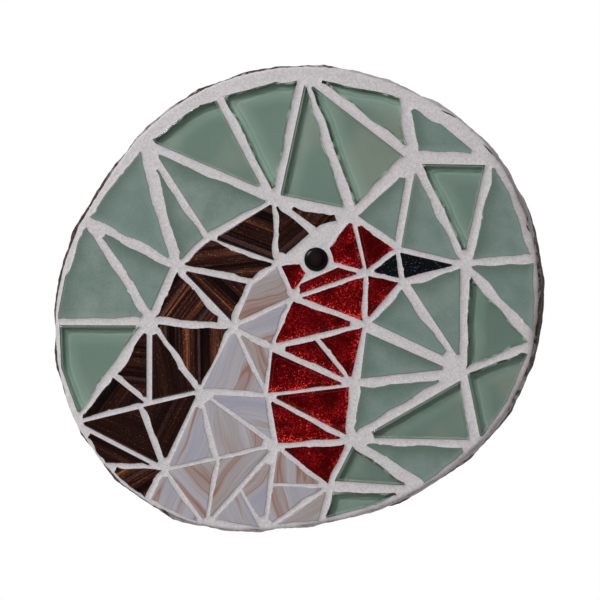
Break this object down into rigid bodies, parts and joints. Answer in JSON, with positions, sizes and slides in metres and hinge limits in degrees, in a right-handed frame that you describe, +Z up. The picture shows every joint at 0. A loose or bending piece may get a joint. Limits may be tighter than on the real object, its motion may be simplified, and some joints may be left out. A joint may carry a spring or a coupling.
{
  "type": "mosaic panel",
  "caption": "Wall panel on a slice of a branch with its bark, with broken glass tiles set in grout as a red-breasted bird on a green ground.",
  "frame": {"origin": "centre of the flat back, at the middle of the branch slice, where the panel meets the wall", "axes": "+X to the right seen from the front, +Y into the wall, +Z up; the picture faces -Y"},
  "size_m": [0.1545, 0.0179, 0.1463],
  "materials": {
    "bark_and_wood": "dark ridged bark on the sides, smeared with grout, and a pale sawn back with growth rings",
    "grout": "matt, fine sanded, light warm grey",
    "clear_green_glass": "polished clear grey-green glass over a painted back, dark along its edges",
    "frosted_green_glass": "etched, satin grey-green glass",
    "brown_glass": "glossy near-black brown with copper streaks",
    "red_glass": "glossy deep red with bright red glitter",
    "white_glass": "glossy lilac-grey white with fine rust-brown streaks",
    "black_glass": "glossy black with small coloured sparkles",
    "eye_glass": "polished black"
  },
  "bodies": {
    "root": {"beak_shard_01": "black_glass", "beak_shard_02": "black_glass", "brown_shard_01": "brown_glass", "brown_shard_02": "brown_glass", "brown_shard_03": "brown_glass", "brown_shard_04": "brown_glass", "brown_shard_05": "brown_glass", "brown_shard_06": "brown_glass", "brown_shard_07": "brown_glass", "brown_shard_08": "brown_glass", "brown_shard_09": "brown_glass", "brown_shard_10": "brown_glass", "brown_shard_11": "brown_glass", "brown_shard_12": "brown_glass", "brown_shard_13": "brown_glass", "brown_shard_14": "brown_glass", "clear_green_shard_01": "clear_green_glass", "clear_green_shard_02": "clear_green_glass", "clear_green_shard_03": "clear_green_glass", "clear_green_shard_04": "clear_green_glass", "clear_green_shard_05": "clear_green_glass", "clear_green_shard_06": "clear_green_glass", "clear_green_shard_07": "clear_green_glass", "clear_green_shard_08": "clear_green_glass", "clear_green_shard_09": "clear_green_glass", "clear_green_shard_10": "clear_green_glass", "clear_green_shard_11": "clear_green_glass", "clear_green_shard_12": "clear_green_glass", "eye_bead": "eye_glass", "frosted_green_shard_01": "frosted_green_glass", "frosted_green_shard_02": "frosted_green_glass", "frosted_green_shard_03": "frosted_green_glass", "frosted_green_shard_04": "frosted_green_glass", "frosted_green_shard_05": "frosted_green_glass", "frosted_green_shard_06": "frosted_green_glass", "frosted_green_shard_07": "frosted_green_glass", "frosted_green_shard_08": "frosted_green_glass", "frosted_green_shard_09": "frosted_green_glass", "frosted_green_shard_10": "frosted_green_glass", "frosted_green_shard_11": "frosted_green_glass", "frosted_green_shard_12": "frosted_green_glass", "frosted_green_shard_13": "frosted_green_glass", "frosted_green_shard_14": "frosted_green_glass", "frosted_green_shard_15": "frosted_green_glass", "grout_bed": "grout", "red_shard_01": "red_glass", "red_shard_02": "red_glass", "red_shard_03": "red_glass", "red_shard_04": "red_glass", "red_shard_05": "red_glass", "red_shard_06": "red_glass", "red_shard_07": "red_glass", "red_shard_08": "red_glass", "red_shard_09": "red_glass", "red_shard_10": "red_glass", "red_shard_11": "red_glass", "red_shard_12": "red_glass", "red_shard_13": "red_glass", "white_shard_01": "white_glass", "wood_slice": "bark_and_wood"}
  },
  "joints": []
}
